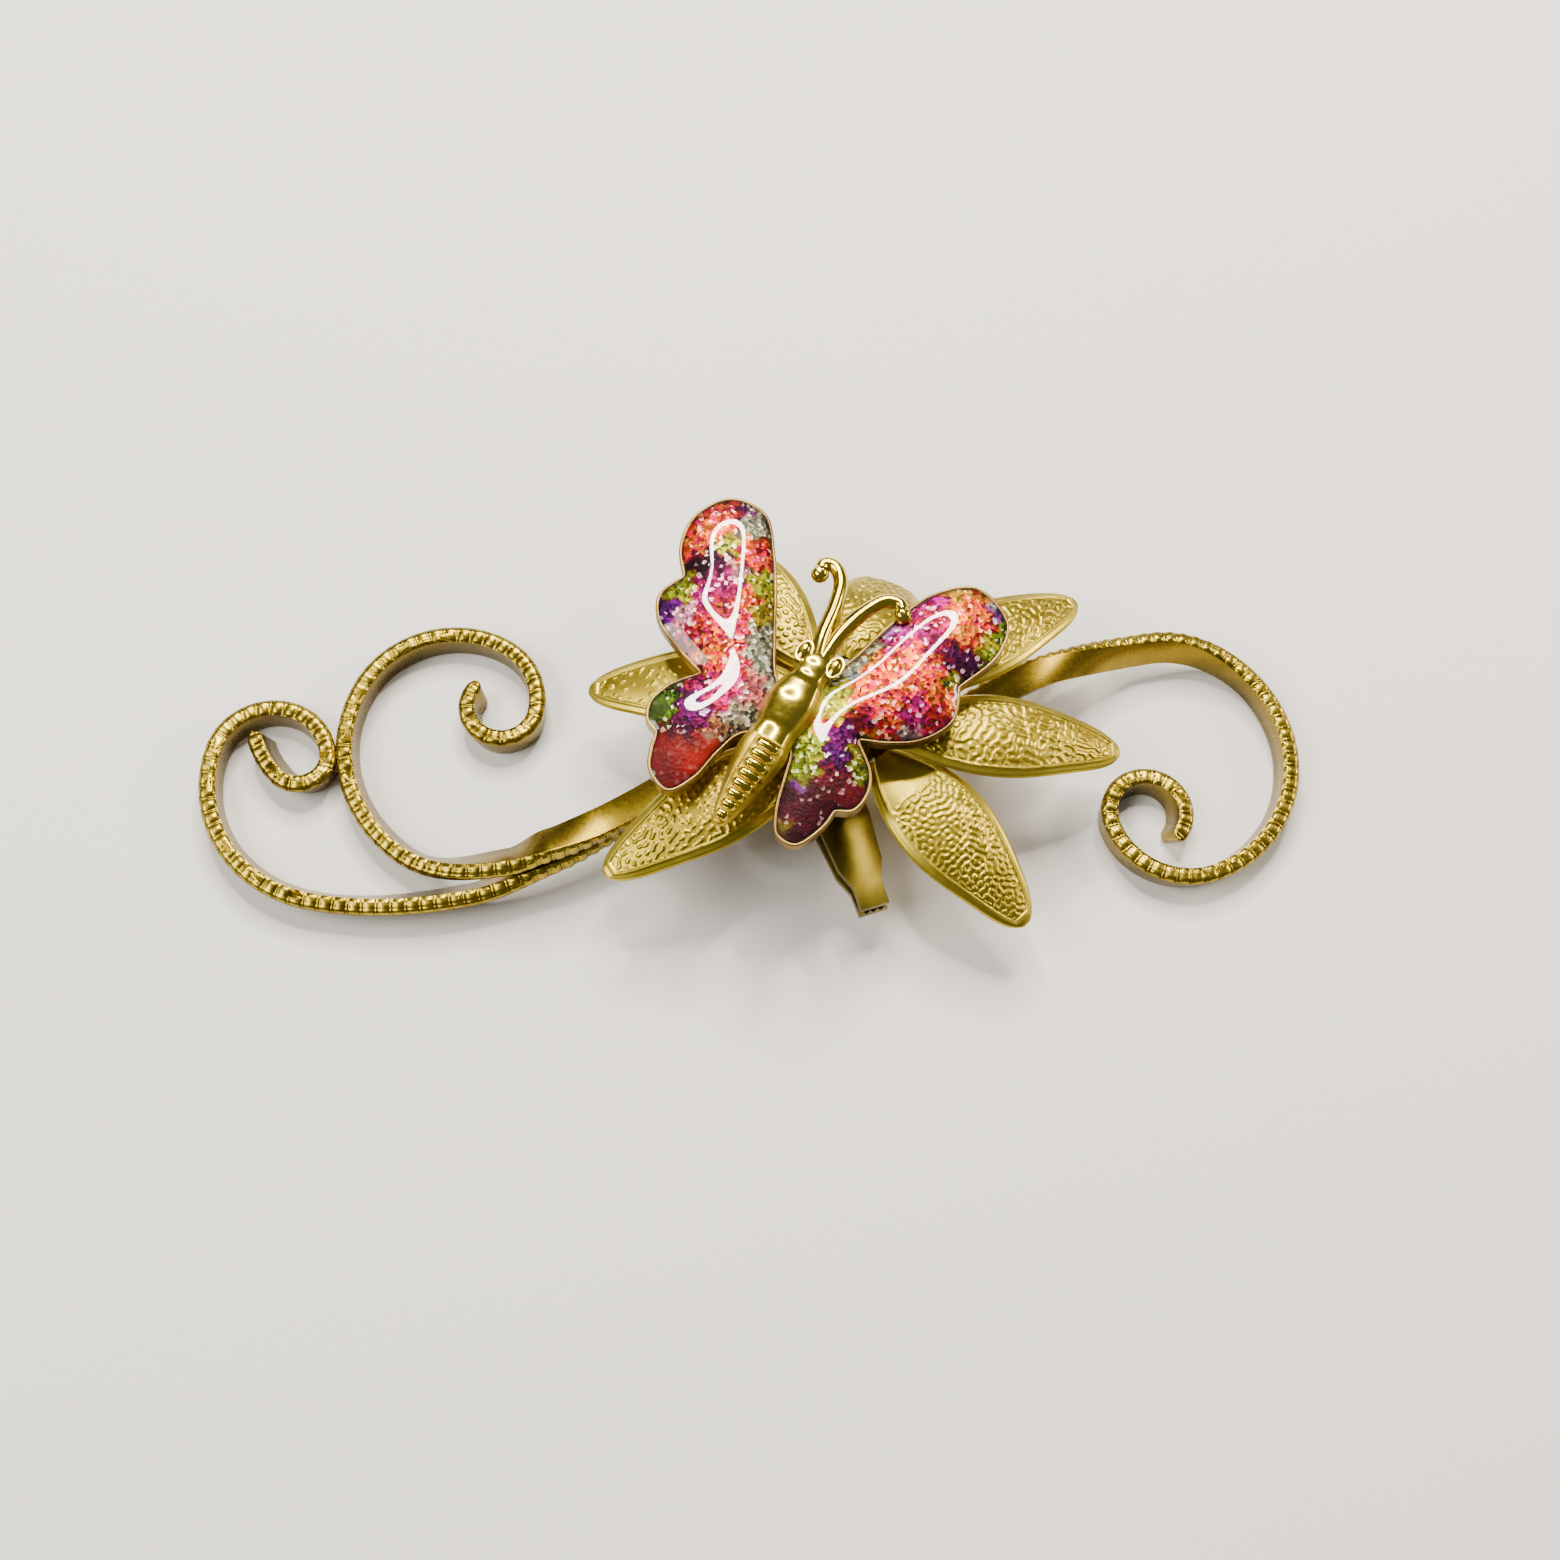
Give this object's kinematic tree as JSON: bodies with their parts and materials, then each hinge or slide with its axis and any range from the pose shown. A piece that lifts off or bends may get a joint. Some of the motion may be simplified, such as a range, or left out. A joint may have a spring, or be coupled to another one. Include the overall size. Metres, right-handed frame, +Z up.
{
  "type": "butterfly hair clip",
  "caption": "Sprung alligator hair clip under a gold-plated ornament of leaves and milled scroll strips, topped by a butterfly with glitter resin wings.",
  "frame": {"origin": "under the centre of the part's box, on the surface that it lies on", "axes": "+X along the ornament's length, +Y towards the clip's levers, +Z up, out of the ornament's face"},
  "size_m": [0.0838, 0.0328, 0.013],
  "materials": {
    "stamped_gold": "gold plated, stamped and textured, satin",
    "milled_gold": "gold plated strip with a milled edge, polished crests",
    "cast_gold": "gold plated casting, bright",
    "plate_gold": "gold plated sheet, satin",
    "clip_gold": "gold plated spring steel sheet, brushed",
    "spring_steel": "drawn spring wire",
    "left_resin": "glossy clear resin over coloured glitter",
    "right_resin": "glossy clear resin over coloured glitter"
  },
  "bodies": {
    "ornament": {"clip_upper_jaw": "clip_gold", "clip_pivot_pin": "clip_gold", "clip_spring": "spring_steel", "backing_plate": "plate_gold", "centre_post": "plate_gold", "scroll_left_outer": "milled_gold", "scroll_left_inner": "milled_gold", "scroll_right": "milled_gold", "leaf_left": "stamped_gold", "leaf_lower_left": "stamped_gold", "leaf_lower_right": "stamped_gold", "leaf_right": "stamped_gold", "leaf_upper_right": "stamped_gold", "leaf_upper_left": "stamped_gold", "leaf_top": "stamped_gold", "butterfly_casting": "cast_gold", "left_wing_enamel": "left_resin", "right_wing_enamel": "right_resin"},
    "lower_jaw": {"clip_lower_jaw": "clip_gold"}
  },
  "joints": [
    {"name": "clip_hinge", "type": "hinge", "parent": "ornament", "child": "lower_jaw", "pos_m": [0.00331, 0.00199, 0.00235], "axis": [0.9598, 0.2807, 0], "range_deg": [0, 15], "stiffness_Nm_per_rad": 0.04, "springref_deg": -28.65, "deforming": ["clip_spring"]}
  ]
}
